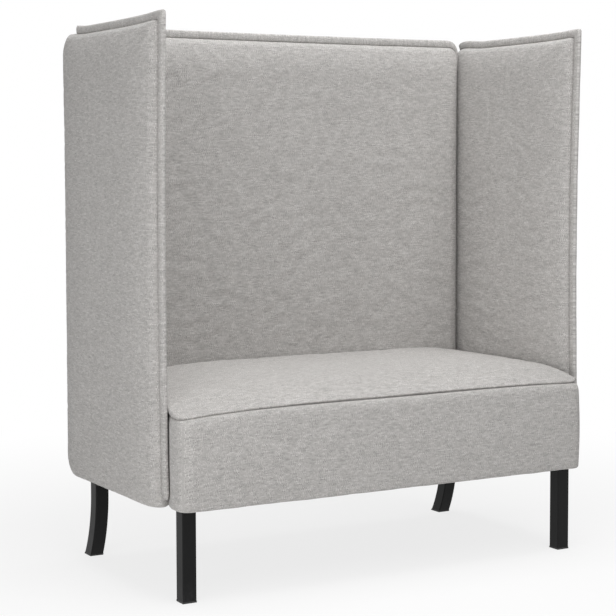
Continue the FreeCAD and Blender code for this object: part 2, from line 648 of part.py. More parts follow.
class Panel:
    """The sewn outline of one panel and the direction of its thickness."""

    def __init__(self, name, limits, radii, drawn, spot):
        self.name = name
        self.limits = limits
        self.radii = radii
        self.drawn = drawn
        self.spot = spot

    def ring(self, inset, foot, height, ease, tight):
        """The outline, smaller by inset and at its foot by foot, at a height off the middle."""
        low_u, high_u, low_v, high_v = self.limits
        return outline(low_u + inset, high_u - inset, low_v + foot, high_v - inset,
                       [radius + ease for radius in self.radii],
                       [depth * tight for depth in self.drawn],
                       lambda u, v: self.spot(u, v, height))

    def pillow(self, facing, skin):
        """Half a pillow from the middle plane outwards, inside a skin of the given thickness."""
        rings = []
        for step in range(PAD_STEPS + 1):
            angle = math.radians(90) * step / PAD_STEPS
            rise = 1 - math.cos(angle)
            inset = size("pad_roll") * rise
            foot = size("pad_foot_roll") * rise ** 2
            height = (size("panel_half") - skin) * math.sin(angle) ** PUFF
            rings.append(self.ring(inset + skin, foot + skin, facing * height, CORNER_EASE * inset - skin,
                                   1 - step / (PAD_STEPS + 1)))
        return Part.makeLoft(rings, True, False)

    def blank(self):
        """The plate that the frame and the boards are cut from."""
        half = at("board_face")
        ring = self.ring(size("frame_inset"), size("fabric"), -half, size("frame_ease"), 1)
        return Part.Face(ring).extrude(self.spot(0, 0, half) - self.spot(0, 0, -half))


def side_panel(side, word):
    x = side * at("x_panel")
    return Panel(f"{word}_panel",
                 (at("y_flange") + size("flange_width"), at("y_rear"), size("seat_bottom"), at("z_pad")),
                 [size("pad_corner"), size("rear_foot_corner"), size("rear_top_corner"),
                  size("pad_corner")],
                 [0, size("drawn_top"), size("drawn_top"), size("drawn_front")],
                 lambda u, v, n: Vector(x + n, u, v))


left_panel = side_panel(-1, "left")
right_panel = side_panel(1, "right")
back_half = at("x_back_pad")
back_top = size("back_corner") - size("back_side_flange") - size("back_flange_reach")
back_panel = Panel("back_panel", (-back_half, back_half, size("seat_bottom"), at("z_pad")),
                   [size("pad_corner"), size("pad_corner"), back_top, back_top],
                   [0, size("drawn_back"), size("drawn_back"), size("drawn_back")],
                   lambda u, v, n: Vector(u, at("y_back") + n, v))

# Panel frames: full-height stiles with a bottom, a middle and a top rail between them, and a board
# on each face. Their outer corners follow the covers.
frame_tools = group("panel_frame_holes", [nut_seats, pins, screws])
board_tools = {-1: group("inner_board_holes", [bolt_holes, pins]), 1: nut_recesses}
RAIL_LEVELS = (
    ("bottom", "layout.z_frame", "layout.z_frame + dims.member_width"),
    ("mid", "dims.mid_rail_height - dims.member_width / 2",
     "dims.mid_rail_height + dims.member_width / 2"),
    ("top", "layout.z_frame_top - dims.member_width", "layout.z_frame_top"))


def member(blank, piece, label):
    shaped_piece = common(label + "_shaped", piece, blank)
    return node(cut(label + "_drilled", shaped_piece, frame_tools), label)


for side, panel in ((-1, left_panel), (1, right_panel)):
    blank = shaped(panel.name + "_blank", panel.blank())
    across = ("layout.x_panel - layout.core_half", "layout.x_panel + layout.core_half")
    front = ("layout.y_frame_front", "layout.y_frame_front + dims.member_width")
    rear = ("layout.y_frame_rear - dims.member_width", "layout.y_frame_rear")
    tall = ("layout.z_frame", "layout.z_frame_top")
    for word, run in (("front", front), ("rear", rear)):
        label = f"{panel.name}_{word}_stile"
        member(blank, side_box(label + "_box", side, *across, *run, *tall), label)
    for word, low, high in RAIL_LEVELS:
        label = f"{panel.name}_{word}_rail"
        member(blank, side_box(label + "_box", side, *across, front[1], rear[0], low, high), label)
    boards = []
    for facing, near, far in (
            (-1, "layout.x_panel - layout.board_face", across[0]),
            (1, across[1], "layout.x_panel + layout.board_face")):
        label = f"{panel.name}_board_{'inner' if facing < 0 else 'outer'}"
        sheet = side_box(label + "_box", side, near, far, front[0], rear[1], *tall)
        boards.append(cut(label, common(label + "_shaped", sheet, blank), board_tools[facing]))
    node(group(panel.name + "_board_pair", boards), panel.name + "_boards")

blank = shaped("back_panel_blank", back_panel.blank())
deep = ("layout.y_back - layout.core_half", "layout.y_back + layout.core_half")
inside = "layout.x_back_frame - dims.member_width"
for side, word in ((-1, "left"), (1, "right")):
    label = f"back_panel_{word}_stile"
    member(blank, side_box(label + "_box", side, inside, "layout.x_back_frame", *deep, *tall), label)
for word, low, high in RAIL_LEVELS:
    label = f"back_panel_{word}_rail"
    member(blank, box(label + "_box", f"-({inside})", inside, *deep, low, high), label)
boards = []
for facing, near, far in ((-1, "layout.y_back - layout.board_face", deep[0]),
                          (1, deep[1], "layout.y_back + layout.board_face")):
    label = f"back_panel_board_{'inner' if facing < 0 else 'outer'}"
    sheet = box(label + "_box", "-layout.x_back_frame", "layout.x_back_frame", near, far, *tall)
    boards.append(cut(label, common(label + "_shaped", sheet, blank), board_tools[facing]))
node(group("back_panel_board_pair", boards), "back_panel_boards")
doc.recompute()


# Panel upholstery: on each face a foam pad and a cover, and between the covers the flange
def upholster(panel, faces, free_edge):
    """faces maps inner and outer to their direction; free_edge is the flange before it is trimmed."""
    for word, facing in faces.items():
        filling = panel.pillow(facing, size("fabric"))
        skin = panel.pillow(facing, 0)
        free_edge = free_edge.cut(skin)
        bored = spacer_holes.Shape if word == "inner" else screws.Shape
        pierced = bolt_holes.Shape if word == "inner" else screws.Shape
        foam = filling.cut(panel.blank()).cut(bored).cut(pins.Shape)
        cover = skin.cut(filling).cut(pierced).cut(pins.Shape)
        node(shaped(f"{panel.name}_{word}_pad", foam), f"{panel.name}_{word}_foam")
        node(shaped(f"{panel.name}_{word}_skin", cover), f"{panel.name}_{word}_cover")
    node(shaped(panel.name + "_edge", free_edge.cut(pins.Shape)), panel.name + "_flange")


def flange_strip(panel, spots, curved):
    """A flat strip through corner points; the sides named in curved are drawn in to a third point.
    The free edges along the first sides are rounded."""
    half = size("flange_thickness") / 2
    edges = []
    for step, here in enumerate(spots):
        there = spots[(step + 1) % len(spots)]
        start, end = panel.spot(*here, -half), panel.spot(*there, -half)
        if step in curved:
            edges.append(Part.Arc(start, panel.spot(*curved[step], -half), end).toShape())
        else:
            edges.append(Part.LineSegment(start, end).toShape())
    across = panel.spot(0, 0, half) - panel.spot(0, 0, -half)
    strip = Part.Face(Part.Wire(edges)).extrude(across)
    noses = []
    for edge in strip.Edges:
        point = edge.valueAt((edge.FirstParameter + edge.LastParameter) / 2)
        for step in curved:
            for height in (-half, half):
                if point.distanceToPoint(panel.spot(*curved[step], height)) < 0.1:
                    noses.append(edge)
    return strip.makeFillet(size("flange_nose"), noses)


def side_flange(panel):
    front, top = at("y_flange"), size("overall_height")
    foot = size("seat_bottom") + size("pad_corner")
    tail = at("y_rear") - size("flange_tail")
    inside = front + size("flange_width") + 2 * size("pad_corner")
    under = at("z_pad") - 2 * size("pad_corner")
    spots = [(front, foot), (front, top), (tail, top), (tail, under), (inside, under), (inside, foot)]
    curved = {0: (front + size("drawn_front"), (foot + top) / 2),
              1: ((front + tail) / 2, top - size("drawn_top"))}
    return flange_strip(panel, spots, curved)


def back_flange(panel):
    half = at("x_face") + size("back_flange_reach")
    top, corner = size("overall_height"), size("back_corner")
    foot = size("seat_bottom") + size("pad_corner")
    inside = at("x_back_pad") - 2 * size("pad_corner")
    under = at("z_pad") - 2 * size("pad_corner")
    drawn = size("drawn_back")
    short = corner * (1 - math.sqrt(0.5))
    middle = (foot + top - corner) / 2
    spots = [(-half, foot), (-half, top - corner), (-half + corner, top), (half - corner, top),
             (half, top - corner), (half, foot), (inside, foot), (inside, under), (-inside, under),
             (-inside, foot)]
    curved = {0: (-half + drawn, middle), 1: (-half + short, top - short), 2: (0, top - drawn),
              3: (half - short, top - short), 4: (half - drawn, middle)}
    return flange_strip(panel, spots, curved)


upholster(left_panel, {"inner": 1, "outer": -1}, side_flange(left_panel))
upholster(right_panel, {"inner": -1, "outer": 1}, side_flange(right_panel))
upholster(back_panel, {"inner": -1, "outer": 1}, back_flange(back_panel))


# Seat upholstery: boxing with a rolled upper edge, and a crowned top sewn to it
def seat_form(skin):
    """The whole seat inside a skin of the given thickness."""
    half, front, rear = at("x_seat"), at("y_front"), at("y_seat")
    low, seam = size("seat_bottom") + skin, size("seam_height") - skin
    corner, roll = size("seat_corner"), size("seat_upper_roll")
    rear_corner = size("seat_rear_corner")

    def level(height, aside, ahead, behind, radius, rear_radius):
        return outline(-half + aside, half - aside, front + ahead, rear - behind,
                       [radius, radius, rear_radius, rear_radius], [0, 0, 0, 0],
                       lambda u, v: Vector(u, v, height))

    ring = level(low, skin, skin, skin, corner - skin, rear_corner - skin)
    block = Part.Face(ring).extrude(Vector(0, 0, seam - low))
    for height, radius in ((low, size("seat_lower_roll")), (seam, roll)):
        edges = [edge for edge in block.Edges
                 if abs(edge.BoundBox.ZMin - height) < 0.01 and abs(edge.BoundBox.ZMax - height) < 0.01]
        block = block.makeFillet(radius - skin, edges)
    rings = []
    for step in range(PAD_STEPS + 1):
        angle = math.radians(90) * step / PAD_STEPS
        rise = 1 - math.cos(angle)
        lift = (size("crown_height") - size("seam_height")) * math.sin(angle) ** PUFF
        tuck = size("crown_tuck") if step == 0 else 0
        bulge = skin + tuck + (roll if step == 0 else roll / 2)
        rings.append(level(
            seam + lift - tuck, bulge + size("crown_side_roll") * rise ** 2,
            skin + tuck + roll + size("crown_front_roll") * rise,
            bulge + size("crown_rear_roll") * rise ** 2,
            size("crown_start_corner") + size("crown_corner") * math.sin(angle),
            size("crown_rear_corner") * (0.1 + rise)))
    return block.fuse(Part.makeLoft(rings, True, False))


def slab(z_low, z_high):
    """All of the seat between two heights."""
    return Part.makeBox(size("seat_width"), size("overall_depth"), z_high - z_low,
                        Vector(-at("x_seat"), at("y_front"), z_low))


seat_outside = seat_form(0)
seat_filling = seat_form(size("fabric"))
seat_skin = seat_outside.cut(seat_filling)
seam, top = size("seam_height"), size("crown_height") + 1
hem = size("hem")
hem_opening = Part.makeBox(size("seat_width") - 2 * hem, at("y_seat") - at("y_front") - 2 * hem,
                           at("z_frame") - size("seat_bottom"),
                           Vector(-at("x_seat") + hem, at("y_front") + hem, size("seat_bottom")))
boxing = seat_skin.common(slab(size("seat_bottom"), seam)).cut(hem_opening)
node(shaped("boxing", boxing.cut(bolt_holes.Shape).cut(screws.Shape)), "seat_boxing")
node(shaped("top_skin", seat_skin.common(slab(seam, top))), "seat_top_cover")
node(shaped("seat_core", seat_filling.common(slab(at("z_foam"), top))), "seat_foam")
frame_space = Part.makeBox(2 * at("x_rail"), at("y_seat") - at("y_rail_front"), top,
                           Vector(-at("x_rail"), at("y_rail_front"), 0))
padding = seat_filling.common(slab(size("seat_bottom"), at("z_foam"))).cut(frame_space)
node(shaped("front_pad", padding), "seat_front_padding")
sheet = box("dust_sheet", "-layout.x_seat + dims.hem", "layout.x_seat - dims.hem",
            "layout.y_front + dims.hem", "layout.y_seat - dims.hem",
            "layout.z_frame - dims.dust_cover", "layout.z_frame")
node(cut("dust_sheet_pierced", sheet, screws), "dust_cover")
doc.recompute()

# Every object is sound before any file is written
for thing in doc.Objects:
    if "Invalid" in thing.State or "Error" in thing.State:
        raise RuntimeError(f"{thing.Label} did not rebuild")
for thing in nodes:
    if thing.Shape.isNull() or not thing.Shape.isValid() or not thing.Shape.Solids:
        raise RuntimeError(f"{thing.Label} has no sound shape")
os.makedirs("parts", exist_ok=True)
for thing in nodes:
    thing.Shape.exportStep(f"parts/{thing.Label}.step")
    print(thing.Label, len(thing.Shape.Solids), round(thing.Shape.Volume))
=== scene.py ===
import math

import bmesh
import bpy
import numpy as np
from mathutils import Matrix, Vector, noise


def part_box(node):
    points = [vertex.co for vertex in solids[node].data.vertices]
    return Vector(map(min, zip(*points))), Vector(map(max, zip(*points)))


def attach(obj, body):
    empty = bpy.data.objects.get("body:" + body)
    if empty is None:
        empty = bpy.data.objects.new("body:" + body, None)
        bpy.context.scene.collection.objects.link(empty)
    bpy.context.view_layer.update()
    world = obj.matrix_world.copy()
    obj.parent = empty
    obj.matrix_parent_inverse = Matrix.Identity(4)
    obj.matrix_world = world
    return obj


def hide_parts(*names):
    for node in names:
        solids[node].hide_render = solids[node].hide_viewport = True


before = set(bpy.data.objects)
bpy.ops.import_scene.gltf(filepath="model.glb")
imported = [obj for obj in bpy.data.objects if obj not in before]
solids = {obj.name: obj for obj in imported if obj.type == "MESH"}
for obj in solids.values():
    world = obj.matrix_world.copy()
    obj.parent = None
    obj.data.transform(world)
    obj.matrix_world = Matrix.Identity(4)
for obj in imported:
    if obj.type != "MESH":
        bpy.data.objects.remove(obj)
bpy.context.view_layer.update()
bpy.context.scene.view_settings.view_transform = "Standard"


# Four legs of 34 mm square steel tube, the front pair straight and the rear pair bent back to the
# foot, each with a plate welded on top that is screwed to the seat frame. They are powder coated
# in satin black, with the faint orange peel of the coat, and near the foot the coat is a little
# lighter and rougher in patches.
def finish(name):
    """A new finish: its material, its nodes and its shader."""
    made = bpy.data.materials.new(name)
    made.use_nodes = True
    return made, made.node_tree, made.node_tree.nodes["Principled BSDF"]


def node(tree, kind, inputs, **settings):
    """One shader node. An input that is a socket is linked, and a number is set on the input."""
    made = tree.nodes.new("ShaderNode" + kind)
    for name, value in settings.items():
        setattr(made, name, value)
    for name, value in inputs.items():
        if isinstance(value, bpy.types.NodeSocket):
            tree.links.new(value, made.inputs[name])
        else:
            made.inputs[name].default_value = value
    return made


def sums(tree, operation, *values):
    """The result of one sum on numbers or sockets."""
    return node(tree, "Math", dict(enumerate(values)), operation=operation).outputs[0]


def grade(tree, value, *stops):
    """A colour that runs through the given stops as a value goes from 0 to 1."""
    ramp = node(tree, "ValToRGB", {"Fac": value})
    elements = ramp.color_ramp.elements
    elements[0].position, elements[1].position = stops[0][0], stops[-1][0]
    for place, _ in stops[1:-1]:
        elements.new(place)
    for element, (_, colour) in zip(elements, stops):
        element.color = (*colour, 1)
    return ramp.outputs[0]


def grain(tree, place, scale, detail=2.0, roughness=0.5):
    """Uneven grey between 0 and 1 at a scale in steps per metre."""
    return node(tree, "TexNoise", {"Vector": place, "Scale": scale, "Detail": detail,
                                   "Roughness": roughness}).outputs["Fac"]


def relief(tree, shader, height, depth, strength=1.0):
    """Raises a surface by a height between 0 and 1, times a depth in metres."""
    bump = node(tree, "Bump", {"Strength": strength, "Distance": depth, "Height": height})
    tree.links.new(bump.outputs["Normal"], shader.inputs["Normal"])


def spread(tree, value, low, high):
    """A value from 0 to 1 spread between two other values."""
    return node(tree, "MapRange", {"Value": value, "To Min": low, "To Max": high}).outputs[0]


def coated(material, *names):
    """Gives solids their finish."""
    for name in names:
        solids[name].data.materials.clear()
        solids[name].data.materials.append(material)


coat, tree, shader = finish("black_powder_coat")
here = node(tree, "TexCoord", {}).outputs["Object"]
peel = grain(tree, here, 520, 1.5)
cloud = grain(tree, here, 14, 4)
low_down = node(tree, "SeparateXYZ", {"Vector": here}).outputs["Z"]
# The colour turns lighter and the coat rougher in patches within the lowest 83 mm of each leg.
foot_patches = sums(tree, "MULTIPLY", spread(tree, sums(tree, "MULTIPLY", low_down, 12.0), 1.0, 0.0),
           grain(tree, here, 90, 5))
tree.links.new(grade(tree, sums(tree, "ADD", cloud, sums(tree, "MULTIPLY", foot_patches, 0.5)),
                     (0.3, (0.004, 0.004, 0.0041)), (0.7, (0.006, 0.006, 0.0062)),
                     (1.0, (0.022, 0.022, 0.0225))), shader.inputs["Base Color"])
shader.inputs["Specular IOR Level"].default_value = 0.18
tree.links.new(spread(tree, sums(tree, "ADD", cloud, sums(tree, "MULTIPLY", foot_patches, 0.4)), 0.36, 0.5),
               shader.inputs["Roughness"])
relief(tree, shader, peel, 0.00012)
coated(coat, "front_leg_left", "front_leg_right", "rear_leg_left", "rear_leg_right")


# A moulded black plastic glide is pushed into the foot of each tube and keeps it off the floor.
# Its face is finely grained by the mould.
glide_plastic, tree, shader = finish("black_glide_plastic")
here = node(tree, "TexCoord", {}).outputs["Object"]
tree.links.new(grade(tree, grain(tree, here, 60, 5), (0.3, (0.014, 0.014, 0.014)),
                     (0.75, (0.027, 0.027, 0.026))), shader.inputs["Base Color"])
tree.links.new(spread(tree, grain(tree, here, 200, 3), 0.5, 0.68), shader.inputs["Roughness"])
relief(tree, shader, grain(tree, here, 900, 1), 0.0001)
coated(glide_plastic, "front_glides", "rear_glides")


# The seat frame is planed softwood: front, rear, side and centre rails with a glued and screwed
# block in each corner. The grain runs along each rail.
def softwood(name, along):
    """Planed softwood with its grain along x, y or z."""
    made, tree, shader = finish(name)
    here = node(tree, "TexCoord", {}).outputs["Object"]
    across_grain, along_grain = 9.0, 0.45
    stretch = [across_grain] * 3
    stretch["xyz".index(along)] = along_grain
    lines = node(tree, "Mapping", {"Vector": here, "Scale": stretch}).outputs[0]
    bands = grain(tree, lines, 7, 3, 0.6)
    rings = sums(tree, "ADD", sums(tree, "MULTIPLY", sums(
        tree, "SINE", sums(tree, "MULTIPLY", bands, 60.0)), 0.25), sums(
        tree, "MULTIPLY", grain(tree, lines, 40, 4), 0.6))
    tree.links.new(grade(tree, rings, (0.0, (0.58, 0.40, 0.23)), (0.35, (0.68, 0.51, 0.31)),
                         (0.8, (0.76, 0.61, 0.41))), shader.inputs["Base Color"])
    tree.links.new(spread(tree, rings, 0.5, 0.72), shader.inputs["Roughness"])
    relief(tree, shader, rings, 0.0003, 0.6)
    return made


wood_across = softwood("softwood_across", "x")
wood_back = softwood("softwood_back", "y")
wood_up = softwood("softwood_up", "z")
coated(wood_across, "seat_front_rail", "seat_rear_rail")
coated(wood_back, "seat_left_rail", "seat_right_rail", "seat_centre_rail")
coated(wood_up, "seat_corner_blocks")


# Zigzag springs of round wire hook into folded clips on the front and rear rails and carry the
# seat. The wire is drawn and oiled, the clips are bright strip.
def steel(name, dark, bright, low, high):
    """Plain steel between two greys, drawn or rolled along fine lines."""
    made, tree, shader = finish(name)
    here = node(tree, "TexCoord", {}).outputs["Object"]
    drawn = node(tree, "Mapping", {"Vector": here, "Scale": (40, 3, 40)}).outputs[0]
    lines = grain(tree, drawn, 12, 4)
    stain = grain(tree, here, 35, 4)
    tree.links.new(grade(tree, sums(tree, "ADD", sums(tree, "MULTIPLY", lines, 0.6), sums(
        tree, "MULTIPLY", stain, 0.4)), (0.3, dark), (0.7, bright)), shader.inputs["Base Color"])
    tree.links.new(spread(tree, stain, low, high), shader.inputs["Roughness"])
    shader.inputs["Metallic"].default_value = 1.0
    relief(tree, shader, lines, 0.00004)
    return made


spring_wire = steel("oiled_spring_wire", (0.16, 0.155, 0.15), (0.3, 0.295, 0.29), 0.3, 0.48)
bright_steel = steel("bright_zinc_steel", (0.5, 0.5, 0.5), (0.68, 0.68, 0.67), 0.26, 0.42)
coated(spring_wire, "zigzag_springs")
coated(bright_steel, "spring_clips")


# A needled felt pad lies on the springs and keeps the foam off the wire. It is cut flat and hangs
# down a little between one spring and the next.
def soft_piece(name, points, faces, threads, material, slot, keep_hard=()):
    """A soft piece from its points and threads in millimetres, riding with the sofa. Its faces
    turn smoothly into each other, save at the edges between the points in keep_hard."""
    mesh = bpy.data.meshes.new(name)
    mesh.from_pydata((np.asarray(points, float) / 1000).tolist(), [],
                     [list(map(int, face)) for face in faces])
    laid = mesh.attributes.new("thread_place", "FLOAT_VECTOR", "POINT")
    laid.data.foreach_set("vector", (np.asarray(threads, float) / 1000).ravel())
    work = bmesh.new()
    work.from_mesh(mesh)
    bmesh.ops.recalc_face_normals(work, faces=work.faces)
    hard = set(keep_hard)
    for edge in work.edges:
        edge.smooth = not (edge.verts[0].index in hard and edge.verts[1].index in hard)
    work.to_mesh(mesh)
    work.free()
    mesh.polygons.foreach_set("use_smooth", [True] * len(mesh.polygons))
    mesh.materials.append(material)
    piece = bpy.data.objects.new(name, mesh)
    bpy.context.scene.collection.objects.link(piece)
    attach(piece, "root")
    return piece


def flat_sheet(left, right, front, rear, across, deep, under, over):
    """The points, faces and threads of a thin sheet, with heights under and over it by place."""
    x, y = np.meshgrid(np.linspace(left, right, across + 1), np.linspace(front, rear, deep + 1))
    x, y = x.ravel(), y.ravel()
    count = len(x)
    points = np.vstack([np.stack([x, y, over(x, y)], 1), np.stack([x, y, under(x, y)], 1)])
    at = np.arange(count).reshape(deep + 1, across + 1)
    quads = np.stack([at[:-1, :-1], at[:-1, 1:], at[1:, 1:], at[1:, :-1]], -1).reshape(-1, 4)
    rim = np.concatenate([at[0, :-1], at[:-1, -1], at[-1, :0:-1], at[:0:-1, 0]])
    walls = np.stack([rim, np.roll(rim, -1), np.roll(rim, -1) + count, rim + count], 1)
    faces = quads.tolist() + (quads[:, ::-1] + count).tolist() + walls.tolist()
    return points, faces, np.vstack([points[:count], points[:count]])


felt, tree, shader = finish("needled_felt")
here = node(tree, "TexCoord", {}).outputs["Object"]
fibres = grain(tree, here, 260, 6, 0.7)
tree.links.new(grade(tree, sums(tree, "ADD", sums(tree, "MULTIPLY", fibres, 0.7), sums(
    tree, "MULTIPLY", grain(tree, here, 22, 3), 0.3)), (0.3, (0.05, 0.05, 0.052)),
    (0.55, (0.11, 0.107, 0.104)), (0.72, (0.2, 0.19, 0.18))), shader.inputs["Base Color"])
shader.inputs["Roughness"].default_value = 0.95
relief(tree, shader, fibres, 0.0008)
felt_low, felt_high = (corner * 1000 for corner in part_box("spring_insulator"))
felt_trim, felt_press, spring_pitch, felt_hang = 1, 0.2, 116, 1.6


def felt_under(x, y):
    """Height of the felt's lower face, which lies on the springs."""
    return felt_low.z + felt_press + 0 * x


def felt_over(x, y):
    """Height of the felt's upper face, which hangs down between the springs."""
    lengthwise = np.sin(np.pi * (y - felt_low.y) / (felt_high.y - felt_low.y))
    return felt_high.z - felt_press - felt_hang * lengthwise * np.sin(x * 2 * np.pi / spring_pitch) ** 2


felt_pad = soft_piece(
    "felt_pad", *flat_sheet(felt_low.x + felt_trim, felt_high.x - felt_trim, felt_low.y + felt_trim,
                            felt_high.y - felt_trim, 110, 40, felt_under, felt_over), felt, "felt")
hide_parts("spring_insulator")


# The covers are one wool blend cloth, a plain weave of pale grey and off-white yarns. The yarns
# are spun from mixed fibres, so each one changes tone every centimetre or so.
def woven(name, seed):
    """The cover cloth. Threads lie along the first two measures of thread_place, in metres."""
    made, tree, shader = finish(name)
    place = node(tree, "Attribute", {}, attribute_name="thread_place").outputs["Vector"]
    yarns_per_metre = 370.0
    axes = node(tree, "SeparateXYZ", {"Vector": node(
        tree, "VectorMath", {0: place, "Scale": yarns_per_metre}, operation="SCALE").outputs[0]})
    across, along = axes.outputs["X"], axes.outputs["Y"]
    end, pick = sums(tree, "FLOOR", across), sums(tree, "FLOOR", along)
    side = sums(tree, "SUBTRACT", sums(tree, "SUBTRACT", across, end), 0.5)
    run = sums(tree, "SUBTRACT", sums(tree, "SUBTRACT", along, pick), 0.5)
    over = sums(tree, "FLOORED_MODULO", sums(tree, "ADD", end, pick), 2.0)
    hump, ridge = (sums(tree, "COSINE", sums(tree, "MULTIPLY", value, math.pi))
                   for value in (side, run))
    warp_high = sums(tree, "MULTIPLY", hump, sums(tree, "POWER", ridge, 0.4))
    weft_high = sums(tree, "MULTIPLY", ridge, sums(tree, "POWER", hump, 0.4))
    height = sums(tree, "ADD", sums(tree, "MULTIPLY", weft_high, over), sums(
        tree, "MULTIPLY", warp_high, sums(tree, "SUBTRACT", 1.0, over)))
    yarn_tones, yarn_apart = [], 7.31
    for thread, length, share, offset in ((end, along, 0.35, seed),
                                          (pick, across, 0.16, seed + 31.7)):
        spot = node(tree, "CombineXYZ", {"X": sums(tree, "MULTIPLY", thread, yarn_apart), "Y": sums(
            tree, "MULTIPLY", length, share), "Z": offset}).outputs[0]
        yarn_tones.append(grain(tree, spot, 1.0, 2.0, 0.55))
    yarn_tones[1] = spread(tree, yarn_tones[1], -0.15, 1.15)
    tone = node(tree, "Mix", {"Factor": over, "A": yarn_tones[0], "B": yarn_tones[1]}).outputs[0]
    fuzz = grain(tree, place, 1900, 3, 0.7)
    drift = grain(tree, place, 9, 2)
    mixed = sums(tree, "ADD", tone, sums(tree, "ADD", sums(
        tree, "MULTIPLY", sums(tree, "SUBTRACT", fuzz, 0.5), 0.12), sums(
        tree, "MULTIPLY", sums(tree, "SUBTRACT", drift, 0.5), 0.03)))
    yarn = grade(tree, mixed, (0.27, (0.36, 0.35, 0.34)), (0.42, (0.475, 0.46, 0.446)),
                 (0.56, (0.555, 0.54, 0.525)), (0.72, (0.68, 0.665, 0.648)))
    # Painted shade: the yarn colour is darkened down to 0.55 at the low places of the weave, between the
    # yarns.
    painted_gap_shade = grade(tree, height, (0.0, (0.55, 0.54, 0.53)), (0.5, (1.0, 1.0, 1.0)))
    tree.links.new(node(tree, "MixRGB", {"Fac": 1.0, "Color1": yarn, "Color2": painted_gap_shade},
                        blend_type="MULTIPLY").outputs[0], shader.inputs["Base Color"])
    tree.links.new(spread(tree, fuzz, 0.84, 0.97), shader.inputs["Roughness"])
    shader.inputs["Specular IOR Level"].default_value = 0.22
    shader.inputs["Sheen Weight"].default_value = 0.12
    shader.inputs["Sheen Roughness"].default_value = 0.55
    relief(tree, shader, sums(tree, "ADD", height, sums(tree, "MULTIPLY", fuzz, 0.5)), 0.00035, 0.7)
    return made


cover_cloth = woven("grey_melange_weave", 3.0)


# The seat is foam under a crowned top cover, sewn to an upright boxing band along a plain seam.
# The crown is highest over the middle and back of the seat and rolls down to the seam in front.
def sewn_outline(left, right, low, high, corners, across, up, pulls=None, pull=1.0):
    """Points round a sewn edge, anticlockwise from the middle of its lower left corner, and the
    way out from the edge at each. Corners are radii from the lower left one round, and pulls say
    how far each side is drawn in by the share gone along it, from the lower side round."""
    arc = 5
    middles = [(left + corners[0], low + corners[0]), (right - corners[1], low + corners[1]),
               (right - corners[2], high - corners[2]), (left + corners[3], high - corners[3])]
    points, outs = [], []
    for side, count in enumerate((across, up, across, up)):
        facing = math.radians(270 + 90 * side)
        after = (side + 1) % 4
        for step in range(arc):
            angle = facing - math.pi / 4 * (1 - step / arc)
            out = np.array([math.cos(angle), math.sin(angle)])
            points.append(np.array(middles[side]) + corners[side] * out)
            outs.append(out)
        out = np.array([math.cos(facing), math.sin(facing)])
        start = np.array(middles[side]) + corners[side] * out
        end = np.array(middles[after]) + corners[after] * out
        straight = count - 2 * arc
        for step in range(straight):
            t = step / straight
            draw = pull * pulls[side](t) if pulls else 0
            points.append(start + (end - start) * t - out * draw)
            outs.append(out)
        for step in range(arc):
            angle = facing + math.pi / 4 * step / arc
            out = np.array([math.cos(angle), math.sin(angle)])
            points.append(np.array(middles[after]) + corners[after] * out)
            outs.append(out)
    return np.array(points), np.array(outs)


def crowned(rings, across, up, cap):
    """One soft sheet from rings of points, the first at its sewn edge, and a cap that fills the
    last. Cap gives the third measure of the points inside."""
    inner = rings[-1]
    bottom, right = inner[:across + 1], inner[across:across + up + 1]
    top = inner[across + up:2 * across + up + 1][::-1]
    left = np.vstack([inner[2 * across + up:], inner[:1]])[::-1]
    s = np.linspace(0, 1, across + 1)[None, :, None]
    t = np.linspace(0, 1, up + 1)[:, None, None]
    twice = ((1 - s) * (1 - t) * bottom[0] + s * (1 - t) * bottom[-1] + s * t * top[-1]
             + (1 - s) * t * top[0])
    patch = ((1 - t) * bottom[None] + t * top[None] + (1 - s) * left[:, None] + s * right[:, None]
             - twice)
    inside = patch[1:-1, 1:-1].reshape(-1, 3)
    inside[:, 2] = cap(inside[:, 0], inside[:, 1], inside[:, 2])
    count, last = len(inner), (len(rings) - 1) * len(inner)
    at = np.zeros((up + 1, across + 1), int)
    at[1:-1, 1:-1] = (last + count + np.arange(len(inside))).reshape(up - 1, across - 1)
    edge = last + np.arange(count)
    at[0, :], at[:, -1] = edge[:across + 1], edge[across:across + up + 1]
    at[-1, :] = edge[across + up:2 * across + up + 1][::-1]
    at[:, 0] = np.append(edge[2 * across + up:], edge[0])[::-1]
    step = np.arange(count)
    faces = []
    for ring in range(len(rings) - 1):
        a, b = ring * count + step, ring * count + np.roll(step, -1)
        faces.append(np.stack([a, b, b + count, a + count], 1))
    faces.append(np.stack([at[:-1, :-1], at[:-1, 1:], at[1:, 1:], at[1:, :-1]], -1).reshape(-1, 4))
    return np.vstack([*rings, inside]), np.vstack(faces)


def uneven(points, size, seed):
    """Smooth unevenness between about -1 and 1 at places in millimetres, in lumps of some size."""
    start = Vector((seed, seed * 1.7, seed * 0.6))
    softness, finer, layers = 0.5, 2.0, 2
    return np.array([noise.fractal(Vector(point) / size + start, softness, finer, layers)
                     for point in points.tolist()])


